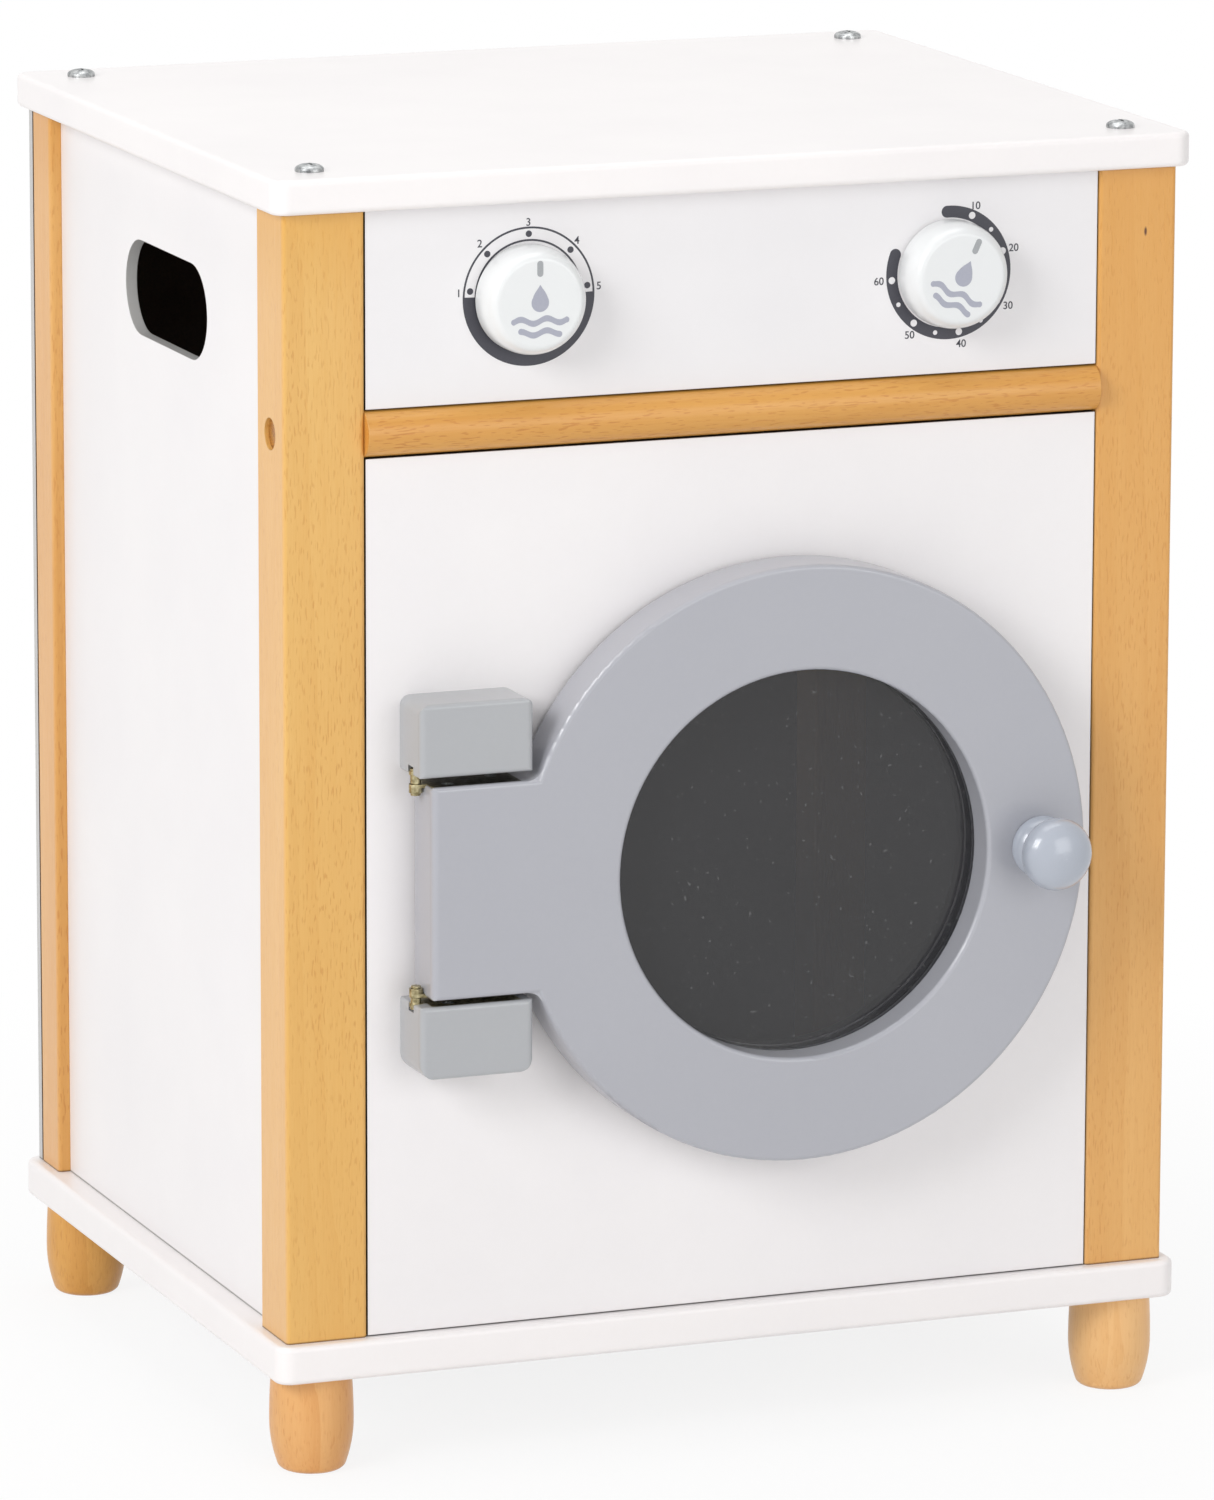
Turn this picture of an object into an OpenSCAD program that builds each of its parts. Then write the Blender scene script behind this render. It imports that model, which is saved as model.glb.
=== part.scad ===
// Toy washing machine: a beech-framed play cabinet with white panels, a round painted
// door on two pivot hinges, and two turning dials above a rounded rail.
// The front faces -Y. The origin is on the floor, at the middle of the whole footprint,
// which runs from the tip of the door knob to the rear edge of the boards.

/* [Cabinet] */
// Width of the top and bottom boards
board_w = 450; // [420:5:520]
// Depth of the top and bottom boards
board_d = 380; // [340:5:440]
// Height over both boards, without the feet
cabinet_h = 556; // [530:2:640]
// Thickness of the top board
board_t = 16; // [12:1:20]
// Thickness of the bottom board
bottom_board_t = 18; // [14:1:22]
// Radius of the boards' upright corners
board_corner_r = 8; // [4:1:12]
// Rounding of the boards' long edges
board_edge_r = 2.5; // [1:0.5:3.5]
// Overhang of the boards past the posts
overhang = 6; // [4:1:10]

/* [Posts] */
// Width of every post, seen from the front
post_w = 39; // [36:1:44]
// Depth of the front posts
front_post_d = 36; // [32:1:42]
// Depth of the rear posts
rear_post_d = 26; // [22:1:34]
// Rounding of the posts' long edges
post_edge_r = 2; // [1:0.5:3]

/* [Panels] */
// Thickness of the side panels
side_panel_t = 5.5; // [4:0.5:8]
// Step from the posts' outer faces in to the side panels
side_panel_inset = 6; // [4:0.5:9]
// Depth of the grooves in the posts that hold the side panels
groove_depth = 6; // [4:0.5:9]
// Thickness of the back panel
back_panel_t = 5; // [4:0.5:8]
// Thickness of the control panel and the lower front panel
front_panel_t = 9; // [7:0.5:11]
// Step from the posts' front faces back to the front panels
front_panel_setback = 1; // [0.5:0.5:3]
// Gap between the front panels and the posts, and under the lower panel
panel_gap = 0.6; // [0.4:0.1:1.5]
// Gap between the front panels and the rail
rail_gap = 0.3; // [0.2:0.1:1]
// Thickness and depth of the cleats behind the front panels
cleat = 14; // [12:1:16]

/* [Hand holes] */
// Length of the hand hole in each side panel
hand_hole_w = 118; // [100:2:140]
// Height of the hand hole
hand_hole_h = 45; // [34:1:52]
// Drop from the top board's underside to the middle of the hand hole
hand_hole_drop = 66; // [50:1:90]
// Shift of the hand hole from the panel's middle towards the front
hand_hole_shift = 5.5; // [0:0.5:12]

/* [Front rail] */
// Height of the rail
rail_h = 22; // [18:1:26]
// Depth of the rail from its rounded nose to its back
rail_d = 34; // [28:1:38]
// How far the rounded nose stands out past the posts
rail_reach = 5.5; // [3:0.5:8]
// Drop from the top board's underside to the rail's axis
rail_drop = 102; // [94:1:116]
// Radius of the round tenons that pass through the posts
tenon_r = 7.4; // [6:0.2:9]
// Step from the posts' outer faces in to the tenons' ends
tenon_recess = 2; // [1:0.5:4]

/* [Feet] */
// Height of the turned feet
foot_h = 46; // [38:1:60]
// Largest radius of the feet
foot_r = 19.5; // [16:0.5:22]
// Radius of the flat that stands on the floor
foot_flat_r = 15; // [12:0.5:17]
// Rounding of the feet's lower rim
foot_edge_r = 2.5; // [1:0.5:4]
// Distance from the board's edges to the feet's axes
foot_inset = 24; // [22:0.5:27]

/* [Door] */
// Outer radius of the door ring
door_r = 140; // [125:1:146]
// Radius of the window opening
window_r = 91; // [82:1:96]
// Thickness of the door
door_t = 26; // [24:1:28]
// Clearance behind the closed door
door_gap = 1.5; // [1:0.25:3]
// Distance from the hinge axis to the ring's centre
door_swing = 186; // [180:1:190]
// Height of the door ring's centre above the bottom board
door_up = 211.5; // [200:0.5:225]
// Rounding of the door's edges
door_edge_r = 2; // [1:0.5:3]
// Height of the hinge tab
tab_h = 99; // [85:1:110]
// Rounding of the tab's upright edges
tab_edge_r = 3.5; // [1:0.5:4]
// Blend radius where the tab meets the ring
tab_fillet_r = 7; // [4:1:12]

/* [Window] */
// Thickness of the window pane
pane_t = 3; // [2:0.5:4]
// Step from the door's front back to the pane
pane_setback = 16; // [14:0.5:19]
// Width of the ledge that the pane sits on
pane_ledge = 5; // [4:0.5:7]
// Width of the retaining ring beyond the pane
retainer_w = 10; // [8:0.5:13]
// Number of screws in the retaining ring
retainer_screws_n = 6; // [4:1:8]

/* [Hinges] */
// Distance from the left post's inner face to the hinge axis
hinge_inset = 19; // [17:0.5:22]
// Radius of the hinge's barrels and round leaf ends
pivot_r = 3.1; // [2.8:0.1:3.4]
// Radius of the hinge pins
pin_r = 1.6; // [1.3:0.1:1.8]
// Running clearance around the hinge pins
pin_clearance = 0.05; // [0.03:0.01:0.08]
// Thickness of the hinge leaves, which are let in flush
leaf_t = 1.6; // [1.2:0.1:2.2]
// Depth of the leaves, front to back
leaf_d = 21; // [16:1:22]
// Length of the leaves beyond the round end
leaf_l = 43; // [36:1:45]
// Gap between the upper hinge block and the tab
upper_hinge_gap = 4.4; // [3:0.1:6]
// Gap between the lower hinge block and the tab
lower_hinge_gap = 2.8; // [2:0.1:5]
// Clearance between a block leaf's collar and the door leaf
leaf_gap = 0.4; // [0.3:0.1:0.8]
// How far the barrels run along the tab's side
barrel_l = 4; // [3:0.5:6]
// Width of the hinge blocks
block_w = 55; // [52:1:56]
// Height of the hinge blocks
block_h = 34; // [30:1:36]
// Depth of the hinge blocks
block_d = 27; // [25:0.5:29]
// Rounding of the blocks' upright edges
block_edge_r = 3; // [1:0.5:4]
// Radius of the upper block's upper corners
upper_block_corner_r = 5; // [3:1:10]
// Radius of the lower block's lower corners
lower_block_corner_r = 8; // [4:1:10]

/* [Door knob] */
// Largest radius of the knob's head
knob_r = 17; // [14:0.5:19]
// Half the thickness of the knob's head
knob_half_t = 11; // [9:0.5:13]
// Distance from the door's front to the middle of the head
knob_reach = 20; // [18:0.5:24]
// Largest radius of the knob's base
knob_base_r = 14.7; // [12:0.1:16]

/* [Dials] */
// Radius of the dials
dial_r = 25; // [22:0.5:28]
// Thickness of the dials
dial_t = 17; // [14:0.5:20]
// Width of the rounding of the dials' front rim
dial_edge_r = 5.5; // [3:0.5:8]
// Height of the rounding along the dials' sides
dial_round_h = 12; // [6:1:13]
// Distance from the left post's inner face to the program dial's axis
program_inset = 78; // [64:1:90]
// Distance from the right post's inner face to the timer dial's axis
timer_inset = 75; // [64:1:90]
// Drop from the top board's underside to the dials' axes
dial_drop = 44; // [38:1:50]
// Radius of the dials' spindles
spindle_r = 4; // [3:0.5:5]
// Running clearance around the spindles
spindle_clearance = 0.06; // [0.03:0.01:0.08]
// Play of the dials along their axes
dial_play = 0.3; // [0.2:0.05:0.5]

/* [Fasteners] */
// Head radius of the screws in the top board
top_screw_head_r = 6.6; // [5:0.2:7]
// Height of the domed heads of those screws
top_screw_head_h = 3.6; // [2:0.2:4]
// Shank radius of the screws in the top board
top_screw_r = 2.5; // [2:0.25:3]
// Length of the screws in the top board
top_screw_l = 50; // [40:1:60]
// Distance from the board's edges to the top screws
top_screw_inset = 26; // [24:0.5:28]
// Radius of the bolts that join feet, bottom board and posts
foot_bolt_r = 4; // [3:0.5:5]
// Grip of those bolts in the feet
foot_bolt_grip = 26; // [20:1:32]
// Grip of those bolts in the posts
post_bolt_grip = 48; // [35:1:60]
// Shank radius of the panel screws
screw_r = 1.75; // [1.5:0.05:2]
// Head radius of the panel screws
screw_head_r = 3.5; // [3:0.1:4]
// Height of the panel screws' domed heads
screw_head_h = 1.8; // [1.2:0.1:2.4]
// Thickness of wood left in front of the panel screws' tips
screw_cover = 3; // [2:0.5:4]
// Shank radius of the hinge and retainer screws
small_screw_r = 1.3; // [1:0.1:1.5]
// Head radius of the hinge and retainer screws
small_head_r = 2.8; // [2.4:0.1:3]
// Length of the hinge screws
leaf_screw_l = 12; // [9:0.5:13]
// Grip of the back panel's screws in the posts
back_screw_grip = 13; // [10:1:18]
// Distance from the posts' inner faces to the back panel's screws
back_screw_inset = 9; // [7:0.5:11]
// Grip of the cleat screws in the posts
cleat_screw_grip = 18; // [12:1:24]
// Extra radius of the holes that a screw only passes through
screw_clearance = 0.2; // [0.1:0.05:0.4]

/* [Catch] */
// Radius of the catch magnet and its plate
catch_r = 6; // [5:0.5:7]
// Thickness of the magnet
magnet_t = 4; // [3:0.5:5]
// Thickness of the catch plate
catch_plate_t = 1.5; // [1:0.25:2]
// Direction of the catch from the door's centre, in degrees
catch_angle = -35; // [-60:5:-25]

/* [Hidden] */

$fn = 48;
eps = 0.01;
beech = [0.88, 0.71, 0.44];
white_paint = [0.94, 0.94, 0.94];
grey_paint = [0.69, 0.70, 0.75];
zinc = [0.62, 0.62, 0.60];
brass = [0.78, 0.66, 0.36];
dark_tint = [0.2, 0.2, 0.2];

// Heights
post_bottom_z = foot_h + bottom_board_t;
post_top_z = foot_h + cabinet_h - board_t;
post_h = post_top_z - post_bottom_z;
top_z = foot_h + cabinet_h;
rail_z = post_top_z - rail_drop;
rail_bottom_z = rail_z - rail_h / 2;
rail_top_z = rail_z + rail_h / 2;
door_z = post_bottom_z + door_up;
dial_z = post_top_z - dial_drop;
hand_hole_z = post_top_z - hand_hole_drop;

// Sideways places
side_x = board_w / 2 - overhang;
post_inner_x = side_x - post_w;
post_x = side_x - post_w / 2;
foot_x = board_w / 2 - foot_inset;
top_screw_x = board_w / 2 - top_screw_inset;
side_panel_x = side_x - side_panel_inset;
hinge_x = hinge_inset - post_inner_x;
door_x = hinge_x + door_swing;

// Front to back places, measured from the middle of the boards
front_y = -board_d / 2 + overhang;
back_y = board_d / 2 - overhang;
front_post_back_y = front_y + front_post_d;
rear_post_back_y = back_y - back_panel_t;
rear_post_front_y = rear_post_back_y - rear_post_d;
foot_y = board_d / 2 - foot_inset;
top_screw_y = board_d / 2 - top_screw_inset;
panel_front_y = front_y + front_panel_setback;
panel_back_y = panel_front_y + front_panel_t;
rail_front_y = front_y - rail_reach;
tenon_y = front_y + front_post_d / 2;
door_back_y = panel_front_y - door_gap;
door_front_y = door_back_y - door_t;
door_mid_y = door_back_y - door_t / 2;
pane_front_y = door_front_y + pane_setback;
pane_back_y = pane_front_y + pane_t;
knob_tip_y = door_front_y - knob_reach - knob_half_t;

// Shift that puts the origin at the middle of the whole footprint
base_y = -(knob_tip_y + board_d / 2) / 2;

// Hinges
hinge_y = door_mid_y;
collar_r = pin_r + 0.9;
barrel_clearance = 0.2;
tab_left_x = hinge_x + pivot_r + barrel_clearance;
tab_right_x = door_x - (door_r + window_r) / 2;
tab_top_z = door_z + tab_h / 2;
block_left_x = hinge_x - pivot_r + 0.8;
leaf_x = tab_left_x + 1;
leaf_screw_x = [leaf_x + leaf_l * 0.22, leaf_x + leaf_l * 0.78];
leaf_screw_dy = leaf_d * 0.22;
pin_head_r = pin_r + 1;
pin_head_h = 1.2;
pin_foot_gap = 0.3;
pin_foot_h = 0.9;
notch_r = pivot_r + 0.9;
notch_h = pin_head_h + 1.2;
block_screw_x = [block_left_x + block_w * 0.24, block_left_x + block_w * 0.76];
block_screw_l = front_panel_t + block_d - 2 * screw_cover;

// Door knob, catch and window
band_r = (door_r + window_r) / 2;
knob_x = door_x + band_r + 1.5;
knob_screw_r = 2;
knob_screw_head_r = 4;
knob_screw_head_h = 2.4;
knob_screw_sink = 5;
knob_screw_grip = 13;
knob_screw_l = door_t - knob_screw_sink + knob_screw_grip;
catch_x = door_x + band_r * cos(catch_angle);
catch_z = door_z + band_r * sin(catch_angle);
catch_screw_l = 11;
pane_r = window_r + pane_ledge;
retainer_r = pane_r + retainer_w;
retainer_play = 0.4;
retainer_back_y = door_back_y - retainer_play;
retainer_screw_r = pane_r + retainer_w / 2;
retainer_screw_l = 13;

// Feet
foot_swell_h = foot_h * 0.5;
foot_neck_r = foot_r * 0.955;

// Dials
program_x = program_inset - post_inner_x;
timer_x = post_inner_x - timer_inset;
dial_back_y = panel_front_y - dial_play;
spindle_sink = dial_t * 0.65;
spindle_end_y = panel_back_y + dial_play;
washer_r = spindle_r + 4.5;
washer_t = 1.5;
dial_screw_l = 9;
dial_screw_head_h = 1.6;

// Cleats and the rows of panel screws
cleat_inner_x = post_inner_x - cleat;
cleat_x = post_inner_x - cleat / 2;
cleat_y = panel_back_y + cleat / 2;
panel_half_w = post_inner_x - panel_gap;
panel_screw_l = cleat + front_panel_t - screw_cover;
cleat_screw_l = cleat + cleat_screw_grip;
upper_cleat_h = post_top_z - rail_top_z;
lower_cleat_h = rail_bottom_z - post_bottom_z;
panel_screw_z = [
    rail_top_z + upper_cleat_h * 0.2, rail_top_z + upper_cleat_h * 0.8,
    post_bottom_z + lower_cleat_h * 0.08, post_bottom_z + lower_cleat_h * 0.5,
    post_bottom_z + lower_cleat_h * 0.92
];
cleat_screw_z = [
    rail_top_z + upper_cleat_h * 0.35, rail_top_z + upper_cleat_h * 0.65,
    post_bottom_z + lower_cleat_h * 0.2, post_bottom_z + lower_cleat_h * 0.8
];
back_screw_n = 5;
back_screw_x = post_inner_x + back_screw_inset;
back_screw_z = [
    for (i = [0:back_screw_n - 1]) post_bottom_z + post_h * (0.05 + 0.9 * i / (back_screw_n - 1))
];
back_screw_l = back_panel_t + back_screw_grip;

// Points of an elliptical arc about [0, cy], from angle a0 to a1
function arc(cy, rx, ry, a0, a1, n) =
    [for (i = [0:n]) let (a = a0 + (a1 - a0) * i / n) [rx * cos(a), cy + ry * sin(a)]];

// Radius of a foot's side at height h: it swells from the flat to foot_r and draws in to the neck
function foot_side(h) = h < foot_swell_h
    ? foot_r - (foot_r - foot_flat_r) * pow(1 - h / foot_swell_h, 2)
    : foot_r - (foot_r - foot_neck_r) * pow((h - foot_swell_h) / (foot_h - foot_swell_h), 2);

// Height of the upper hinge block's underside; the lower block is drawn upside down from its own
function block_z(lower) = tab_top_z + (lower ? lower_hinge_gap : upper_hinge_gap);

// Moves a piece from the boards' middle to the part's own origin
module in_frame() {
    translate([0, base_y, 0]) children();
}

// Turns a piece that is drawn along +Z so that it runs along -Y, to the front
module to_front() {
    rotate([90, 0, 0]) children();
}

// Turns a piece that is drawn along +Z so that it runs along +Y, to the back
module to_back() {
    rotate([-90, 0, 0]) children();
}

// Draws a piece of the upper hinge, or its mirror image at the lower hinge
module at_hinge(lower) {
    if (lower) translate([0, 0, 2 * door_z]) mirror([0, 0, 1]) children();
    else children();
}

// Rectangle with round corners, centred
module rounded_rect(w, h, r) {
    square([w - 2 * r, h], center = true);
    square([w, h - 2 * r], center = true);
    for (x = [-1, 1], y = [-1, 1])
        translate([x * (w / 2 - r), y * (h / 2 - r)]) circle(r);
}

// Board of thickness t with round upright corners and eased edges, standing on z = 0
module board(t) {
    hull()
        for (x = [-1, 1], y = [-1, 1])
            translate([x * (board_w / 2 - board_corner_r), y * (board_d / 2 - board_corner_r)])
                rotate_extrude($fn = 32)
                    intersection() {
                        translate([0, t / 2]) rounded_rect(2 * board_corner_r, t, board_edge_r, $fn = 24);
                        square([board_corner_r, t]);
                    }
}

// Puts a child at each foot's axis
module at_feet() {
    for (x = [-1, 1], y = [-1, 1])
        translate([x * foot_x, y * foot_y, 0]) children();
}

// Puts a child at each top screw's axis
module at_top_screws() {
    for (x = [-1, 1], y = [-1, 1])
        translate([x * top_screw_x, y * top_screw_y, 0]) children();
}

// Screw along -Z with a domed head that seats on z = 0 and a cross recess
module domed_screw(head_r, head_h, shank_r, length) {
    difference() {
        rotate_extrude()
            polygon(concat(
                [[0, -length], [shank_r * 0.2, -length], [shank_r, -length + 2 * shank_r]],
                [[shank_r, 0], [head_r, 0]],
                arc(head_h * 0.3, head_r, head_h * 0.7, 0, 90, 8)
            ));
        for (a = [0, 90])
            rotate([0, 0, a]) translate([0, 0, head_h])
                cube([head_r * 0.95, head_r * 0.2, head_h * 1.1], center = true);
    }
}

// Screw along -Z with a countersunk head flush with z = 0 and a cross recess
module flush_screw(head_r, shank_r, length) {
    difference() {
        rotate_extrude()
            polygon([
                [0, -length], [shank_r * 0.2, -length], [shank_r, -length + 2 * shank_r],
                [shank_r, shank_r - head_r], [head_r, 0], [0, 0]
            ]);
        for (a = [0, 90])
            rotate([0, 0, a]) cube([head_r * 1.1, head_r * 0.22, head_r * 0.7], center = true);
    }
}

// Hole for a countersunk screw along -Z whose head is flush with z = 0
module flush_screw_hole(head_r, shank_r, length) {
    rotate_extrude()
        polygon([
            [0, -length], [shank_r, -length], [shank_r, shank_r - head_r], [head_r, 0], [head_r, 1], [0, 1]
        ]);
}

// Top and bottom boards
module top_board() {
    in_frame() color(white_paint) difference() {
        translate([0, 0, post_top_z]) board(board_t);
        translate([0, 0, post_top_z - 1]) at_top_screws()
            cylinder(r = top_screw_r + screw_clearance, h = board_t + 2);
    }
}

module bottom_board() {
    in_frame() color(white_paint) difference() {
        translate([0, 0, foot_h]) board(bottom_board_t);
        translate([0, 0, foot_h - 1]) at_feet()
            cylinder(r = foot_bolt_r + screw_clearance, h = bottom_board_t + 2);
    }
}

// Post with its screw and bolt holes and its groove; side is -1 on the left, 1 on the right
module post(side, depth, mid_y, groove_y) {
    in_frame() color(beech) difference() {
        translate([side * post_x, mid_y, post_bottom_z])
            linear_extrude(post_h) rounded_rect(post_w, depth, post_edge_r);
        translate([side * (side_panel_x - side_panel_t / 2), groove_y, post_bottom_z + post_h / 2])
            cube([side_panel_t, 2 * groove_depth, post_h + 2], center = true);
        translate([0, 0, top_z - top_screw_l]) at_top_screws() cylinder(r = top_screw_r, h = top_screw_l);
        translate([0, 0, post_bottom_z - 1]) at_feet() cylinder(r = foot_bolt_r, h = post_bolt_grip + 1);
        children();
    }
}

// Holes that a front post has besides: the tenon's and the cleat screws'
module front_post_holes(side) {
    translate([side * (post_inner_x - 1), tenon_y, rail_z]) rotate([0, side * 90, 0])
        cylinder(r = tenon_r, h = post_w + 2);
    for (z = cleat_screw_z)
        translate([side * cleat_inner_x, cleat_y, z]) rotate([0, side * 90, 0])
            cylinder(r = screw_r, h = cleat_screw_l);
}

// Holes that a rear post has besides, for the back panel's screws
module rear_post_holes(side) {
    for (z = back_screw_z)
        translate([side * back_screw_x, back_y, z]) to_front() cylinder(r = screw_r, h = back_screw_l);
}

module front_left_post() {
    post(-1, front_post_d, front_y + front_post_d / 2, front_post_back_y) front_post_holes(-1);
}

module front_right_post() {
    post(1, front_post_d, front_y + front_post_d / 2, front_post_back_y) front_post_holes(1);
}

module rear_left_post() {
    post(-1, rear_post_d, rear_post_back_y - rear_post_d / 2, rear_post_front_y) rear_post_holes(-1);
}

module rear_right_post() {
    post(1, rear_post_d, rear_post_back_y - rear_post_d / 2, rear_post_front_y) rear_post_holes(1);
}

// Side panel with its slot-shaped hand hole
module side_panel(side) {
    mid_y = (front_post_back_y + rear_post_front_y) / 2;
    panel_d = rear_post_front_y - front_post_back_y + 2 * groove_depth;
    in_frame() color(white_paint) difference() {
        translate([side * (side_panel_x - side_panel_t / 2), mid_y, post_bottom_z + post_h / 2])
            cube([side_panel_t, panel_d, post_h], center = true);
        translate([side * side_x, mid_y - hand_hole_shift, hand_hole_z])
            rotate([90, 0, 90]) linear_extrude(4 * (side_panel_inset + side_panel_t), center = true)
                rounded_rect(hand_hole_w, hand_hole_h, hand_hole_h / 2 - eps);
    }
}

module left_side_panel() {
    side_panel(-1);
}

module right_side_panel() {
    side_panel(1);
}

// Back panel and its screws
module back_panel() {
    in_frame() color(white_paint) difference() {
        translate([-side_x, rear_post_back_y, post_bottom_z]) cube([2 * side_x, back_panel_t, post_h]);
        for (side = [-1, 1], z = back_screw_z)
            translate([side * back_screw_x, back_y + 1, z]) to_front()
                cylinder(r = screw_r + screw_clearance, h = back_panel_t + 2);
    }
}

module back_panel_screws() {
    in_frame() color(zinc)
        for (side = [-1, 1], z = back_screw_z)
            translate([side * back_screw_x, back_y, z]) to_back()
                domed_screw(screw_head_r, screw_head_h, screw_r, back_screw_l);
}

// Puts a child at each panel screw, on the cleats' backs
module at_panel_screws() {
    for (side = [-1, 1], z = panel_screw_z)
        translate([side * cleat_x, panel_back_y + cleat, z]) children();
}

// Control panel with the spindle holes
module control_panel() {
    in_frame() color(white_paint) difference() {
        translate([-panel_half_w, panel_front_y, rail_top_z + rail_gap])
            cube([2 * panel_half_w, front_panel_t, post_top_z - rail_top_z - rail_gap]);
        for (x = [program_x, timer_x])
            translate([x, panel_back_y + 1, dial_z]) to_front()
                cylinder(r = spindle_r + spindle_clearance, h = front_panel_t + 2);
        at_panel_screws() to_front() cylinder(r = screw_r, h = panel_screw_l);
    }
}

// Lower front panel with the round porthole, the magnet's seat and the block screws' holes
module front_panel() {
    in_frame() color(white_paint) difference() {
        translate([-panel_half_w, panel_front_y, post_bottom_z + panel_gap])
            cube([2 * panel_half_w, front_panel_t, rail_bottom_z - rail_gap - post_bottom_z - panel_gap]);
        translate([door_x, panel_back_y + 1, door_z]) to_front()
            cylinder(r = window_r, h = front_panel_t + 2, $fn = 180);
        translate([catch_x, panel_front_y + magnet_t, catch_z]) to_front()
            cylinder(r = catch_r, h = magnet_t + 1);
        at_panel_screws() to_front() cylinder(r = screw_r, h = panel_screw_l);
        at_block_screws() translate([0, 1, 0]) to_front()
            cylinder(r = screw_r + screw_clearance, h = front_panel_t + 2);
    }
}

// Cleats behind the edges of the front panels
module cleats(z0, z1) {
    difference() {
        for (side = [-1, 1])
            translate([side * cleat_x, cleat_y, (z0 + z1) / 2]) cube([cleat, cleat, z1 - z0], center = true);
        at_panel_screws() translate([0, 1, 0]) to_front()
            cylinder(r = screw_r + screw_clearance, h = cleat + 2);
        for (side = [-1, 1], z = cleat_screw_z)
            translate([side * (cleat_inner_x - 1), cleat_y, z]) rotate([0, side * 90, 0])
                cylinder(r = screw_r + screw_clearance, h = cleat + 2);
    }
}

module control_panel_cleats() {
    in_frame() color(beech) cleats(rail_top_z + rail_gap, post_top_z);
}

module front_panel_cleats() {
    in_frame() color(beech) cleats(post_bottom_z, rail_bottom_z - rail_gap);
}

module cleat_screws() {
    in_frame() color(zinc)
        for (side = [-1, 1], z = cleat_screw_z)
            translate([side * cleat_inner_x, cleat_y, z]) rotate([0, -side * 90, 0])
                domed_screw(screw_head_r, screw_head_h, screw_r, cleat_screw_l);
}

module panel_screws() {
    in_frame() color(zinc) at_panel_screws() to_back()
        domed_screw(screw_head_r, screw_head_h, screw_r, panel_screw_l);
}

// Rail with a rounded nose and a round tenon at each end
module front_rail() {
    nose_r = rail_h / 2;
    in_frame() color(beech) {
        translate([0, 0, rail_z]) rotate([90, 0, 90]) linear_extrude(2 * post_inner_x, center = true) {
            translate([rail_front_y + nose_r, 0]) circle(nose_r);
            translate([rail_front_y + nose_r, -nose_r]) square([rail_d - nose_r, rail_h]);
        }
        translate([0, tenon_y, rail_z]) rotate([0, 90, 0])
            cylinder(r = tenon_r, h = 2 * (side_x - tenon_recess), center = true);
    }
}

// Turned foot: a gently swelling barrel that tapers in to a flat, with a bolt hole
module foot(x, y) {
    in_frame() color(beech) translate([x * foot_x, y * foot_y, 0]) difference() {
        rotate_extrude($fn = 64)
            polygon(concat(
                [[0, 0]],
                [for (a = [0:15:90]) let (h = foot_edge_r * (1 - cos(a)))
                    [foot_side(h) - foot_edge_r * (1 - sin(a)), h]],
                [for (i = [1:14]) let (h = foot_edge_r + (foot_h - foot_edge_r) * i / 14) [foot_side(h), h]],
                [[0, foot_h]]
            ));
        translate([0, 0, foot_h - foot_bolt_grip]) cylinder(r = foot_bolt_r, h = foot_bolt_grip + 1);
    }
}

module front_left_foot() {
    foot(-1, -1);
}

module front_right_foot() {
    foot(1, -1);
}

module rear_left_foot() {
    foot(-1, 1);
}

module rear_right_foot() {
    foot(1, 1);
}

module foot_bolts() {
    in_frame() color(zinc) translate([0, 0, foot_h - foot_bolt_grip]) at_feet()
        cylinder(r = foot_bolt_r, h = foot_bolt_grip + bottom_board_t + post_bolt_grip);
}

module top_screws() {
    in_frame() color(zinc) translate([0, 0, top_z]) at_top_screws()
        domed_screw(top_screw_head_r, top_screw_head_h, top_screw_r, top_screw_l);
}

// Places a child at each screw of both hinge blocks, on the panel's back
module at_block_screws() {
    for (lower = [false, true], x = block_screw_x)
        at_hinge(lower) translate([x, panel_back_y, block_z(lower) + block_h / 2]) children();
}

// Hinge block: eased edges, two round outer corners, the leaf's seat and a notch for the pin's head
module hinge_block(lower) {
    z = block_z(lower);
    in_frame() color(grey_paint) difference() {
        at_hinge(lower) difference() {
            intersection() {
                translate([block_left_x, panel_front_y, z]) to_front()
                    linear_extrude(block_d) block_face(lower ? lower_block_corner_r : upper_block_corner_r);
                translate([block_left_x + block_w / 2, panel_front_y, z - 1])
                    linear_extrude(block_h + 2) rounded_rect(block_w, 2 * block_d, block_edge_r);
                translate([block_left_x - 1, panel_front_y, z + block_h / 2])
                    rotate([90, 0, 90]) linear_extrude(block_w + 2)
                        rounded_rect(2 * block_d, block_h, door_edge_r);
            }
            translate([0, 0, z - 1]) linear_extrude(leaf_t + 1) leaf_outline();
            translate([hinge_x, hinge_y, z - 1]) cylinder(r = notch_r, h = leaf_t + notch_h + 1);
            at_leaf_screws() translate([0, 0, z])
                cylinder(r = small_screw_r, h = 2 * leaf_screw_l, center = true);
        }
        at_block_screws() to_front() cylinder(r = screw_r, h = block_screw_l);
    }
}

// Front outline of the upper hinge block, from its lower left corner
module block_face(high_r) {
    low_r = 1;
    translate([high_r, high_r]) square([block_w - 2 * high_r, block_h - high_r]);
    translate([0, low_r]) square([block_w, block_h - high_r - low_r]);
    translate([low_r, 0]) square([block_w - 2 * low_r, high_r]);
    for (x = [low_r, block_w - low_r])
        translate([x, low_r]) circle(low_r);
    for (x = [high_r, block_w - high_r])
        translate([x, block_h - high_r]) circle(high_r);
}

module upper_hinge_block() {
    hinge_block(false);
}

module lower_hinge_block() {
    hinge_block(true);
}

module hinge_block_screws() {
    in_frame() color(zinc) at_block_screws() to_back()
        domed_screw(screw_head_r, screw_head_h, screw_r, block_screw_l);
}

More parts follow.
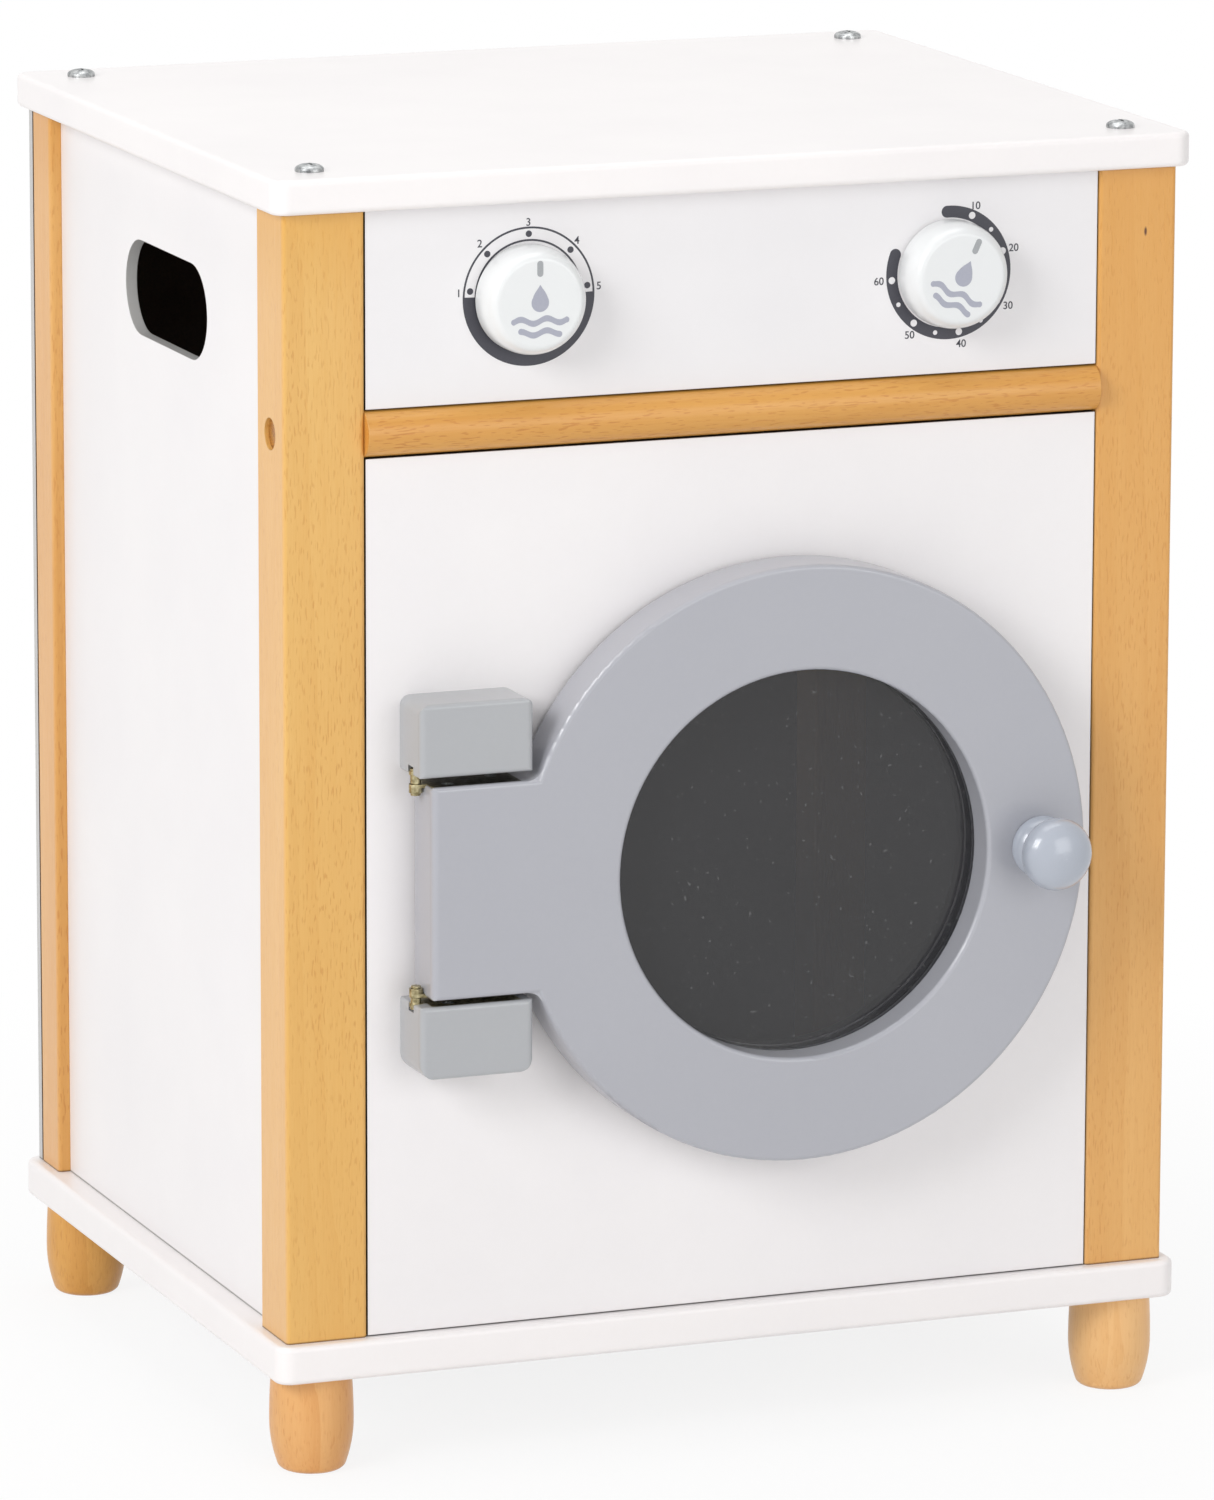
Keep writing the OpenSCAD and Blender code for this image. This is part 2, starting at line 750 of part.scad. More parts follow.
// Places a child at the two staggered screws of a leaf, at z = 0
module at_leaf_screws() {
    for (i = [0, 1])
        translate([leaf_screw_x[i], hinge_y + (i * 2 - 1) * leaf_screw_dy, 0]) children();
}

// Outline of a hinge leaf with its round end on the axis
module leaf_outline() {
    translate([leaf_x, hinge_y - leaf_d / 2]) square([leaf_l, leaf_d]);
    translate([hinge_x, hinge_y - pivot_r]) square([leaf_x - hinge_x, 2 * pivot_r]);
    translate([hinge_x, hinge_y]) circle(pivot_r);
}

// Leaf let into the hinge block, with a collar round the pin that keeps the tab at its height
module block_leaf(lower) {
    z = block_z(lower);
    in_frame() color(brass) at_hinge(lower) difference() {
        union() {
            translate([0, 0, z]) linear_extrude(leaf_t) leaf_outline();
            translate([hinge_x, hinge_y, tab_top_z + leaf_gap])
                cylinder(r = collar_r, h = z + leaf_t - tab_top_z - leaf_gap);
        }
        translate([hinge_x, hinge_y, tab_top_z]) cylinder(r = pin_r, h = z + leaf_t - tab_top_z + 1);
        at_leaf_screws() translate([0, 0, z]) rotate([180, 0, 0])
            flush_screw_hole(small_head_r, small_screw_r, leaf_t + 1);
    }
}

module upper_block_leaf() {
    block_leaf(false);
}

module lower_block_leaf() {
    block_leaf(true);
}

module block_leaf_screws() {
    in_frame() color(zinc)
        for (lower = [false, true])
            at_hinge(lower) at_leaf_screws() translate([0, 0, block_z(lower)]) rotate([180, 0, 0])
                flush_screw(small_head_r, small_screw_r, leaf_screw_l);
}

// Leaf let into the end of the door's tab, with the barrel that turns on the pin
module door_leaf(lower) {
    in_frame() color(brass) at_hinge(lower) difference() {
        union() {
            translate([0, 0, tab_top_z - leaf_t]) linear_extrude(leaf_t) leaf_outline();
            translate([hinge_x, hinge_y, tab_top_z - barrel_l]) cylinder(r = pivot_r, h = barrel_l);
        }
        translate([hinge_x, hinge_y, tab_top_z - barrel_l - 1])
            cylinder(r = pin_r + pin_clearance, h = barrel_l + 2);
        at_leaf_screws() translate([0, 0, tab_top_z])
            flush_screw_hole(small_head_r, small_screw_r, leaf_t + 1);
    }
}

module upper_door_leaf() {
    door_leaf(false);
}

module lower_door_leaf() {
    door_leaf(true);
}

module door_leaf_screws() {
    in_frame() color(zinc)
        for (lower = [false, true])
            at_hinge(lower) at_leaf_screws() translate([0, 0, tab_top_z])
                flush_screw(small_head_r, small_screw_r, leaf_screw_l);
}

// Pins: a head in the block's notch, a shaft through both leaves and a small riveted foot
module hinge_pins() {
    shaft_bottom_z = tab_top_z - barrel_l - pin_foot_gap - pin_foot_h;
    in_frame() color(zinc)
        for (lower = [false, true])
            at_hinge(lower) translate([hinge_x, hinge_y, 0]) {
                translate([0, 0, shaft_bottom_z])
                    cylinder(r = pin_r, h = block_z(lower) + leaf_t - shaft_bottom_z);
                translate([0, 0, shaft_bottom_z]) cylinder(r = pin_r + 0.7, h = pin_foot_h);
                translate([0, 0, block_z(lower) + leaf_t]) cylinder(r = pin_head_r, h = pin_head_h);
            }
}

// Blend between the tab's top edge and the ring, in the door's plane
module tab_fillet() {
    reach = door_r + tab_fillet_r;
    cz = tab_h / 2 + tab_fillet_r;
    cx = -sqrt(reach * reach - cz * cz);
    touch = [cx * door_r / reach, cz * door_r / reach];
    difference() {
        polygon([[cx, tab_h / 2 - door_edge_r], [cx, tab_h / 2], [cx, cz], touch, touch * 0.95]);
        translate([cx, cz]) circle(tab_fillet_r);
    }
}

// Door: a ring with eased edges and a hinge tab, rebated at the back for pane and retainer
module door_frame() {
    tab_w = tab_right_x - tab_left_x;
    tab_mid_x = (tab_left_x + tab_right_x) / 2;
    in_frame() color(grey_paint) difference() {
        union() {
            translate([door_x, door_mid_y, door_z]) to_front() rotate_extrude($fn = 180)
                translate([band_r, 0]) rounded_rect(door_r - window_r, door_t, door_edge_r);
            intersection() {
                translate([tab_mid_x, door_mid_y, door_z]) to_front()
                    linear_extrude(door_t, center = true) rounded_rect(tab_w, tab_h, door_edge_r);
                translate([tab_mid_x, door_mid_y, door_z])
                    linear_extrude(tab_h, center = true) rounded_rect(tab_w, door_t, tab_edge_r);
                translate([tab_mid_x, door_mid_y, door_z]) rotate([90, 0, 90])
                    linear_extrude(tab_w, center = true) rounded_rect(door_t, tab_h, door_edge_r);
            }
            for (flip = [0, 1])
                translate([door_x, door_mid_y, door_z]) to_front() mirror([0, flip, 0])
                    linear_extrude(door_t - door_edge_r, center = true) tab_fillet();
        }
        translate([door_x, pane_front_y, door_z]) to_back() cylinder(r = pane_r, h = door_t, $fn = 180);
        translate([door_x, pane_back_y, door_z]) to_back() cylinder(r = retainer_r, h = door_t, $fn = 180);
        at_retainer_screws() to_front() cylinder(r = small_screw_r, h = retainer_screw_l);
        for (lower = [false, true])
            at_hinge(lower) {
                translate([0, 0, tab_top_z - leaf_t]) linear_extrude(leaf_t + 1) leaf_outline();
                at_leaf_screws() translate([0, 0, tab_top_z])
                    cylinder(r = small_screw_r, h = 2 * leaf_screw_l, center = true);
            }
        translate([knob_x, door_back_y, door_z]) to_front() {
            translate([0, 0, -1]) cylinder(r = knob_screw_head_r + 0.5, h = knob_screw_sink + 1);
            cylinder(r = knob_screw_r + screw_clearance, h = door_t + 1);
        }
        translate([catch_x, door_back_y, catch_z]) to_front() {
            translate([0, 0, -1]) cylinder(r = catch_r, h = catch_plate_t + 1);
            cylinder(r = small_screw_r, h = catch_screw_l);
        }
    }
}

module door_window() {
    in_frame() color(dark_tint) translate([door_x, pane_front_y, door_z]) to_back()
        cylinder(r = pane_r, h = pane_t, $fn = 180);
}

// Places a child at each screw of the retaining ring, on the ring's back
module at_retainer_screws() {
    for (i = [0:retainer_screws_n - 1])
        translate([door_x, retainer_back_y, door_z]) rotate([0, 360 * (i + 0.5) / retainer_screws_n, 0])
            translate([retainer_screw_r, 0, 0]) children();
}

module window_retainer() {
    in_frame() color(grey_paint) difference() {
        translate([door_x, pane_back_y, door_z]) to_back()
            cylinder(r = retainer_r, h = retainer_back_y - pane_back_y, $fn = 180);
        translate([door_x, pane_back_y - 1, door_z]) to_back() cylinder(r = window_r, h = door_t, $fn = 180);
        at_retainer_screws() to_back() flush_screw_hole(small_head_r, small_screw_r, retainer_screw_l);
    }
}

module retainer_screws() {
    in_frame() color(zinc) at_retainer_screws() to_back()
        flush_screw(small_head_r, small_screw_r, retainer_screw_l);
}

// Turned knob: a round base bead and a flattened ball
module door_knob() {
    bead_h = knob_reach * 0.55;
    in_frame() color(grey_paint) translate([knob_x, door_front_y, door_z]) to_front() difference() {
        rotate_extrude($fn = 64) {
            polygon(concat(
                [[0, 0]],
                arc(bead_h * 0.3, knob_base_r, bead_h * 0.9, -18, 62, 12),
                [[0, bead_h * 1.1]]
            ));
            polygon(arc(knob_reach, knob_r, knob_half_t, -90, 90, 30));
        }
        translate([0, 0, -1]) cylinder(r = knob_screw_r, h = knob_screw_l - door_t + knob_screw_sink + 1);
    }
}

module door_knob_screw() {
    in_frame() color(zinc) translate([knob_x, door_back_y - knob_screw_sink, door_z]) to_back()
        domed_screw(knob_screw_head_r, knob_screw_head_h, knob_screw_r, knob_screw_l);
}

// Magnetic catch: a disc let into the panel, a steel plate let into the door
module catch_magnet() {
    in_frame() color(zinc) translate([catch_x, panel_front_y + magnet_t, catch_z]) to_front()
        cylinder(r = catch_r, h = magnet_t);
}

module catch_plate() {
    in_frame() color(zinc) translate([catch_x, door_back_y, catch_z]) difference() {
        to_front() cylinder(r = catch_r, h = catch_plate_t);
        to_back() flush_screw_hole(small_head_r, small_screw_r, catch_screw_l);
    }
}

module catch_plate_screw() {
    in_frame() color(zinc) translate([catch_x, door_back_y, catch_z]) to_back()
        flush_screw(small_head_r, small_screw_r, catch_screw_l);
}

// Dial with a softly rounded side, bored from the back for its spindle
module dial(x) {
    in_frame() color(white_paint) translate([x, dial_back_y, dial_z]) to_front() difference() {
        rotate_extrude($fn = 120)
            polygon(concat(
                [[0, 0], [dial_r - 0.6, 0], [dial_r, 0.6]],
                [for (a = [0:7.5:90])
                    [dial_r - dial_edge_r * (1 - cos(a)), dial_t - dial_round_h * (1 - sin(a))]],
                [[0, dial_t]]
            ));
        translate([0, 0, -1]) cylinder(r = spindle_r, h = spindle_sink + 1);
    }
}

module spindle(x) {
    in_frame() color(beech) translate([x, spindle_end_y, dial_z]) difference() {
        to_front() cylinder(r = spindle_r, h = spindle_end_y - dial_back_y + spindle_sink);
        translate([0, 1, 0]) to_front() cylinder(r = small_screw_r, h = dial_screw_l - washer_t + 1);
    }
}

module dial_washer(x) {
    in_frame() color(zinc) translate([x, spindle_end_y, dial_z]) to_back() difference() {
        cylinder(r = washer_r, h = washer_t);
        translate([0, 0, -1]) cylinder(r = small_screw_r + screw_clearance, h = washer_t + 2);
    }
}

module dial_screw(x) {
    in_frame() color(zinc) translate([x, spindle_end_y + washer_t, dial_z]) to_back()
        domed_screw(small_head_r, dial_screw_head_h, small_screw_r, dial_screw_l);
}

module program_dial() {
    dial(program_x);
}

module program_spindle() {
    spindle(program_x);
}

module program_washer() {
    dial_washer(program_x);
}

module program_screw() {
    dial_screw(program_x);
}

module timer_dial() {
    dial(timer_x);
}

module timer_spindle() {
    spindle(timer_x);
}

module timer_washer() {
    dial_washer(timer_x);
}

module timer_screw() {
    dial_screw(timer_x);
}

top_board();
bottom_board();
front_left_post();
front_right_post();
rear_left_post();
rear_right_post();
left_side_panel();
right_side_panel();
back_panel();
back_panel_screws();
control_panel();
front_panel();
control_panel_cleats();
front_panel_cleats();
cleat_screws();
panel_screws();
front_rail();
front_left_foot();
front_right_foot();
rear_left_foot();
rear_right_foot();
foot_bolts();
top_screws();
upper_hinge_block();
lower_hinge_block();
hinge_block_screws();
upper_block_leaf();
lower_block_leaf();
block_leaf_screws();
hinge_pins();
catch_magnet();
door_frame();
upper_door_leaf();
lower_door_leaf();
door_leaf_screws();
door_window();
window_retainer();
retainer_screws();
door_knob();
door_knob_screw();
catch_plate();
catch_plate_screw();
program_dial();
program_spindle();
program_washer();
program_screw();
timer_dial();
timer_spindle();
timer_washer();
timer_screw();
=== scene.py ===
"""Looks of the toy washing machine: materials, printed marks, light and camera."""

import math

import bpy
from mathutils import Matrix, Vector


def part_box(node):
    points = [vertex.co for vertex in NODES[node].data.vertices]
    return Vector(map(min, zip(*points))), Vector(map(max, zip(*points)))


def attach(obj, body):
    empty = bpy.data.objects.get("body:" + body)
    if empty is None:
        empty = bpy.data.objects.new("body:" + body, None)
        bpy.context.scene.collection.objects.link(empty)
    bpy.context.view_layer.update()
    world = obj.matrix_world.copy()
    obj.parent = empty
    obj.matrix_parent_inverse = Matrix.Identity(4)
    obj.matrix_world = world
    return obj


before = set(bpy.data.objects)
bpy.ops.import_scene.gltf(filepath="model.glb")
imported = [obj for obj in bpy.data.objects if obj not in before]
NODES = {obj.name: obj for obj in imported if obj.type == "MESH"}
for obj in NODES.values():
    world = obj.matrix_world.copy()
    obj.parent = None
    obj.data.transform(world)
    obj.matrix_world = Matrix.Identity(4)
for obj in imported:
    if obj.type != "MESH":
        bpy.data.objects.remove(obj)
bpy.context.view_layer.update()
MM = 0.001


# ---------------------------------------------------------------- materials


def srgb(r, g, b):
    """Linear colour of an 8-bit sRGB one."""
    parts = [c / 255 for c in (r, g, b)]
    return (*[c / 12.92 if c < 0.04045 else ((c + 0.055) / 1.055) ** 2.4 for c in parts], 1.0)


def scaled(colour, *factors):
    """A colour with each channel multiplied, kept at 1 or below."""
    return (*[min(1, c * k) for c, k in zip(colour, factors)], 1.0)


class Nodes:
    """A node tree built call by call. Sizes in it are in metres."""

    def __init__(self, tree):
        self.tree = tree
        self.tree.nodes.clear()

    def add(self, kind, sockets=None, **settings):
        """Adds a node and sets or links its input sockets."""
        made = self.tree.nodes.new("ShaderNode" + kind)
        for key, value in settings.items():
            setattr(made, key, value)
        for key, value in (sockets or {}).items():
            self.put(made.inputs[key], value)
        return made

    def put(self, socket, value):
        """Links a socket to another, or gives it a constant."""
        if isinstance(value, bpy.types.NodeSocket):
            self.tree.links.new(value, socket)
        else:
            socket.default_value = value

    def remap(self, value, low, high, to_low=0.0, to_high=1.0):
        """The value's range low..high stretched to to_low..to_high, clamped."""
        sockets = {0: value, 1: low, 2: high, 3: to_low, 4: to_high}
        return self.add("MapRange", sockets).outputs[0]

    def calc(self, operation, a, b=0.0):
        """One sum of two values."""
        return self.add("Math", {0: a, 1: b}, operation=operation).outputs[0]

    def mixed(self, share, a, b):
        """Shader a with a share of shader b."""
        return self.add("MixShader", {0: share, 1: a, 2: b}).outputs[0]

    def background_rays(self):
        """1 for rays that see the background straight, in metal or through glass."""
        path = self.add("LightPath").outputs
        seen = self.calc("MAXIMUM", path["Is Camera Ray"], path["Is Glossy Ray"])
        return self.calc("MAXIMUM", seen, path["Is Transmission Ray"])


class Shader(Nodes):
    """A material, with Object coordinates, which are the frame's own metres."""

    def __init__(self, name):
        self.material = bpy.data.materials.new(name)
        self.material.use_nodes = True
        super().__init__(self.material.node_tree)
        self.bsdf = self.add("BsdfPrincipled")
        self.output = self.add("OutputMaterial", {"Surface": self.bsdf.outputs[0]})
        self.coords = self.add("TexCoord").outputs["Object"]

    def surface(self, **sockets):
        """Sets inputs of the main shader; underscores in their names stand for spaces."""
        for key, value in sockets.items():
            self.put(self.bsdf.inputs[key.replace("_", " ")], value)

    def mapped(self, vector, scale=(1, 1, 1), turn=(0, 0, 0), shift=(0, 0, 0)):
        """The vector, scaled, turned and shifted."""
        sockets = {"Vector": vector, "Scale": scale, "Rotation": turn, "Location": shift}
        return self.add("Mapping", sockets).outputs[0]

    def noise(self, vector, scale, detail=2.0, rough=0.5, distort=0.0):
        """A noise value from 0 to 1 whose features are about 1 / scale metres wide."""
        sockets = {
            "Vector": vector,
            "Scale": scale,
            "Detail": detail,
            "Roughness": rough,
            "Distortion": distort,
        }
        return self.add("TexNoise", sockets).outputs[0]

    def blend(self, share, a, b):
        """Colour a with a share of colour b."""
        return self.add("Mix", {0: share, 6: a, 7: b}, data_type="RGBA").outputs[2]

    def axis(self, vector, name):
        """The X, Y or Z part of a vector."""
        return self.add("SeparateXYZ", {0: vector}).outputs[name]

    def facing(self, a, b):
        """How much two directions agree: 1 the same, 0 square to each other, -1 opposite."""
        return self.add("VectorMath", {0: a, 1: b}, operation="DOT_PRODUCT").outputs[1]

    def length(self, vector):
        """Length of a vector."""
        return self.add("VectorMath", {0: vector}, operation="LENGTH").outputs[1]

    def normal(self):
        """The surface's own direction."""
        return self.add("NewGeometry").outputs["Normal"]

    def edges(self, radius):
        """1 along sharp edges, 0 on flats, and the normal that rounds those edges."""
        rounded = self.add("Bevel", {"Radius": radius}, samples=6).outputs[0]
        return self.remap(self.facing(rounded, self.normal()), 0.99, 0.86), rounded

    def bump(self, height, distance, normal=None):
        """A normal bumped by a height of 0 to 1 times distance."""
        sockets = {"Height": height, "Distance": distance, "Strength": 1.0}
        if normal is not None:
            sockets["Normal"] = normal
        return self.add("Bump", sockets).outputs[0]


def post_shades(s, colour, deep, post, top_shade):
    """A post's shades: its left face blended paler, painted light together with that face's other
    grain; its top painted darker, as shade under the top board; thin dark lines painted as shade
    where it meets the boards at its ends.
    """
    # Painted light: faces looking left are blended paler, along with the other grain of that face.
    left = s.calc("MULTIPLY", s.axis(s.normal(), "X"), -1)
    colour = s.blend(s.remap(left, 0.6, 0.95, 0, 0.5), colour, srgb(230, 181, 124))
    height = s.axis(s.coords, "Z")
    bottom, top = post
    # Painted shade: darker towards the top, as under the top board's overhang.
    reach, share = top_shade
    top_shading = s.remap(height, top - reach, top, 0, share)
    colour = s.blend(top_shading, colour, scaled(deep, 0.96, 0.88, 0.5))
    # Painted shade: thin dark lines at both ends, where the post meets the boards.
    low = s.remap(height, bottom + 1 * MM, bottom + 0.3 * MM)
    high = s.remap(height, top - 1 * MM, top - 0.3 * MM)
    joint_shade = s.calc("MULTIPLY", s.calc("MAXIMUM", low, high), 0.8)
    return s.blend(joint_shade, colour, srgb(96, 62, 30))


def small_knot(s, colour, place):
    """A dark knot of about 1.5 mm, three times as long as wide."""
    stretch = (1, 1, 0.35)
    shift = tuple(-c * k for c, k in zip(place, stretch))
    away = s.length(s.mapped(s.coords, stretch, shift=shift))
    return s.blend(s.remap(away, 0.9 * MM, 0.4 * MM), colour, srgb(92, 48, 12))


def end_grain(s, colour, plug_x):
    """Dark porous end grain from plug_x outwards, on both sides."""
    side = s.calc("ABSOLUTE", s.axis(s.coords, "X"))
    pores = s.noise(s.coords, 1500, 2, 0.6)
    end_colour = s.blend(s.remap(pores, 0.4, 0.65), srgb(186, 126, 44), srgb(128, 74, 20))
    return s.blend(s.remap(side, plug_x, plug_x + 0.4 * MM), colour, end_colour)


def beech(
    name, tone, deep, grain="Z", shift=(0, 0, 0), flecks=0.5, streaks=0.3, knot=None, plug_x=None,
    post=None, top_shade=(0.045, 0.5),
):
    """Varnished beech. tone and deep are its light and dark colour, grain its direction.

    knot is a small dark knot's place; plug_x is how far out an end-grain plug starts; post is
    the lowest and highest point of a post, with painted shade at its ends and painted light on its
    left face; the top shade setting is how far down from its top it is painted darker as shade, and
    how much.
    """
    s = Shader(name)
    turn = (0, math.pi / 2, 0) if grain == "X" else (0, 0, 0)
    wood = s.mapped(s.coords, turn=turn, shift=shift)
    # Broad clouds of tone, then the growth rings' streaks, fine fibres and short dark flecks.
    long = s.mapped(wood, (1, 1, 0.06))
    cloud = s.noise(long, 24, 3, 0.55, 0.6)
    colour = s.blend(s.remap(cloud, 0.3, 0.72), tone, deep)
    bands = s.add(
        "TexWave",
        {
            "Vector": s.mapped(wood, (1, 0.6, 0.05)),
            "Scale": 34.0,
            "Distortion": 9.0,
            "Detail": 3.0,
            "Detail Scale": 1.4,
        },
        wave_type="BANDS",
        bands_direction="DIAGONAL",
        wave_profile="SAW",
    ).outputs[1]
    grown = scaled(deep, 0.93, 0.86, 0.74)
    colour = s.blend(s.remap(bands, 0.35, 1.0, 0, streaks), colour, grown)
    fibre = s.noise(s.mapped(wood, (1, 1, 0.03)), 1100, 2, 0.6)
    colour = s.blend(s.remap(fibre, 0.42, 0.75, 0, 0.3), colour, grown)
    dashes = s.noise(s.mapped(wood, (1, 1, 0.16)), 1250, 0.5, 0.4, 0.2)
    patches = s.remap(s.noise(long, 60, 1), 0.36, 0.58, 0.45, 1)
    fleck = s.calc("MULTIPLY", s.remap(dashes, 0.6, 0.71), patches)
    dark = scaled(deep, 0.72, 0.5, 0.26)
    colour = s.blend(s.calc("MULTIPLY", fleck, flecks), colour, dark)
    edge, normal = s.edges(0.9 * MM)
    # Edges blended paler: partly varnish wear, partly a painted highlight on the rounded edges.
    wear_and_highlight = s.calc("MULTIPLY", edge, s.remap(cloud, 0.35, 0.6, 0.15, 0.45))
    colour = s.blend(wear_and_highlight, colour, scaled(tone, 1.06, 1.1, 1.25))
    if post is not None:
        colour = post_shades(s, colour, deep, post, top_shade)
    if knot is not None:
        colour = small_knot(s, colour, knot)
    if plug_x is not None:
        colour = end_grain(s, colour, plug_x)
    relief = s.calc("SUBTRACT", s.calc("MULTIPLY", fibre, 0.5), fleck)
    s.surface(
        Base_Color=colour,
        Roughness=s.remap(fibre, 0.3, 0.7, 0.36, 0.48),
        Coat_Weight=0.22,
        Coat_Roughness=0.24,
        Normal=s.bump(relief, 0.06 * MM, normal),
    )
    return s.material


def board_faces(s, colour, flat, cross_face_colour, dark_inside):
    """Given colour on the faces across flat, dark on the front panels and retainer partly as shade;
    dark brown fibreboard, partly the shade inside, on those looking along it when the inside is
    dark.
    """
    toward = s.facing(s.normal(), flat)
    colour = s.blend(s.remap(s.calc("ABSOLUTE", toward), 0.5, 0.3), colour, cross_face_colour)
    if dark_inside:
        # Inner faces: unpainted brown fibreboard, dark partly as the deep shade inside the cabinet.
        fibres = s.noise(s.coords, 900, 3, 0.7)
        board = s.blend(s.remap(fibres, 0.3, 0.7), srgb(92, 72, 54), srgb(72, 55, 41))
        colour = s.blend(s.remap(toward, 0.6, 0.8), colour, board)
    return colour


def lacquer(
    name, tone, wear_and_highlight, rough=0.32, peel=0.03 * MM, coat=0.15, edge_r=0.6 * MM, edge_share=0.5,
    flat=None, cross_face_colour=None, dark_inside=True, shade_seam=None,
):
    """Sprayed satin lacquer on board: orange peel, a faint unevenness and an edge colour, which is
    thinner paint on the white boards and a painted highlight on the grey paints.

    flat is the direction that a board's flat face looks in, with the colour of the faces across it
    given;
    the dark inside setting leaves that flat face unpainted: brown fibreboard, dark partly as the
    shade inside.
    The given line height is where a dark line is painted, as shade where a panel stands on the
    bottom board.
    """
    s = Shader(name)
    cloud = s.noise(s.coords, 9, 3, 0.6)
    colour = s.blend(s.remap(cloud, 0.15, 0.85), tone, scaled(tone, 0.94, 0.94, 0.95))
    mottle = s.noise(s.coords, 340, 2, 0.6)
    colour = s.blend(s.remap(mottle, 0.1, 0.9, 0, 0.05), colour, wear_and_highlight)
    edge, normal = s.edges(edge_r)
    # Edges take the edge colour in patches: thinner paint on the white boards, a painted highlight
    # on the grey paints.
    edge_patches = s.remap(s.noise(s.coords, 130, 3, 0.7), 0.35, 0.7, 0.25, 1)
    colour = s.blend(s.calc("MULTIPLY", s.calc("MULTIPLY", edge, edge_patches), edge_share), colour, wear_and_highlight)
    if flat is not None:
        colour = board_faces(s, colour, flat, cross_face_colour, dark_inside)
    if shade_seam is not None:
        # Painted shade: a dark line just above the given height, where the panel stands on the
        # bottom board.
        line = s.remap(s.axis(s.coords, "Z"), shade_seam + 1 * MM, shade_seam + 0.4 * MM, 0, 0.8)
        colour = s.blend(line, colour, srgb(120, 116, 112))
    height = s.calc("ADD", s.noise(s.coords, 480, 1, 0.5), s.noise(s.coords, 60, 2, 0.5))
    s.surface(
        Base_Color=colour,
        Roughness=s.remap(cloud, 0.15, 0.85, rough - 0.04, rough + 0.06),
        Coat_Weight=coat,
        Coat_Roughness=0.12,
        Normal=s.bump(height, peel, normal),
    )
    return s.material


def metal(name, tone, dull, rough, streak=(1, 1, 1), gap_shade_x=None):
    """Plated or rolled metal with fine marks and duller patches, painted dark from the given x on as
    the shade in a hinge gap.
    """
    s = Shader(name)
    cloud = s.noise(s.coords, 420, 3, 0.6)
    marks = s.noise(s.mapped(s.coords, streak), 2600, 2, 0.6)
    edge, normal = s.edges(0.3 * MM)
    colour = s.blend(s.remap(cloud, 0.35, 0.7), tone, dull)
    # Painted highlight: edges blended paler.
    colour = s.blend(s.calc("MULTIPLY", edge, 0.4), colour, scaled(tone, 1.3, 1.3, 1.3))
    if gap_shade_x is not None:
        # Painted shade: darker from the barrel end inwards, where the leaves lie in the hinge gap.
        gap_shade = s.remap(s.axis(s.coords, "X"), gap_shade_x, gap_shade_x + 6 * MM, 0, 0.85)
        colour = s.blend(gap_shade, colour, srgb(48, 42, 28))
    s.surface(
        Base_Color=colour,
        Metallic=1.0,
        Roughness=s.remap(cloud, 0.3, 0.7, rough, rough + 0.14),
        Normal=s.bump(marks, 0.01 * MM, normal),
    )
    return s.material


def smoked_acrylic(name):
    """Dark see-through sheet with polished faces, a little dust and faint haze.

    Much of its grey is the studio mirrored in both its faces, so the gloss is set twice as
    strong as that of one face.
    """
    s = Shader(name)
    dust = s.remap(s.noise(s.coords, 620, 0, 0.4), 0.8, 0.83)
    haze = s.noise(s.coords, 14, 3, 0.6)
    base = s.blend(s.remap(haze, 0.15, 0.85), srgb(43, 43, 46), srgb(51, 51, 54))
    colour = s.blend(s.calc("MULTIPLY", dust, 0.5), base, srgb(150, 150, 150))
    s.surface(
        Base_Color=colour,
        Roughness=s.remap(haze, 0.15, 0.85, 0.03, 0.08),
        IOR=1.49,
        Specular_IOR_Level=1.0,
        Alpha=0.5,
        Normal=s.bump(s.noise(s.coords, 22, 1), 0.02 * MM),
    )
    return s.material


def ink(name, tone, pale):
    """Printed ink: nearly flat, with a fine screen-printed mottle and softer gloss."""
    s = Shader(name)
    mottle = s.noise(s.coords, 1400, 2, 0.6)
    colour = s.blend(s.remap(mottle, 0.42, 0.75, 0, 0.35), tone, pale)
    s.surface(
        Base_Color=colour,
        Roughness=s.remap(mottle, 0.3, 0.7, 0.38, 0.5),
        Normal=s.bump(mottle, 0.01 * MM),
    )
    return s.material


# Lowest and highest point of the posts, and where the side panels stand on the bottom board.
POST = (0.064, 0.586)

WHITE_WORN = srgb(214, 210, 204)
white_board = lacquer("white_board_lacquer", srgb(246, 242, 241), WHITE_WORN, edge_r=1.2 * MM)
PANEL = dict(tone=srgb(242, 239, 239), wear_and_highlight=WHITE_WORN, rough=0.4, coat=0.1)
SIDE = dict(PANEL, cross_face_colour=srgb(193, 192, 190), shade_seam=POST[0])
# The front panels' cut faces are painted dark, partly as unpainted board and partly as the deep
# shade in the window's recess.
FRONT = dict(flat=(0, 1, 0), cross_face_colour=srgb(58, 50, 44))
front_white = lacquer("front_white_lacquer", **PANEL, **FRONT)
left_white = lacquer("left_white_lacquer", flat=(1, 0, 0), **SIDE)
right_white = lacquer("right_white_lacquer", flat=(-1, 0, 0), **SIDE)
back_white = lacquer("back_white_lacquer", flat=(0, -1, 0), **SIDE)
fascia_white = lacquer(
    "fascia_white", srgb(236, 234, 235), WHITE_WORN, rough=0.42, coat=0.08, **FRONT
)
dial_white = lacquer("dial_white_lacquer", srgb(232, 234, 234), WHITE_WORN, rough=0.26, coat=0.35)
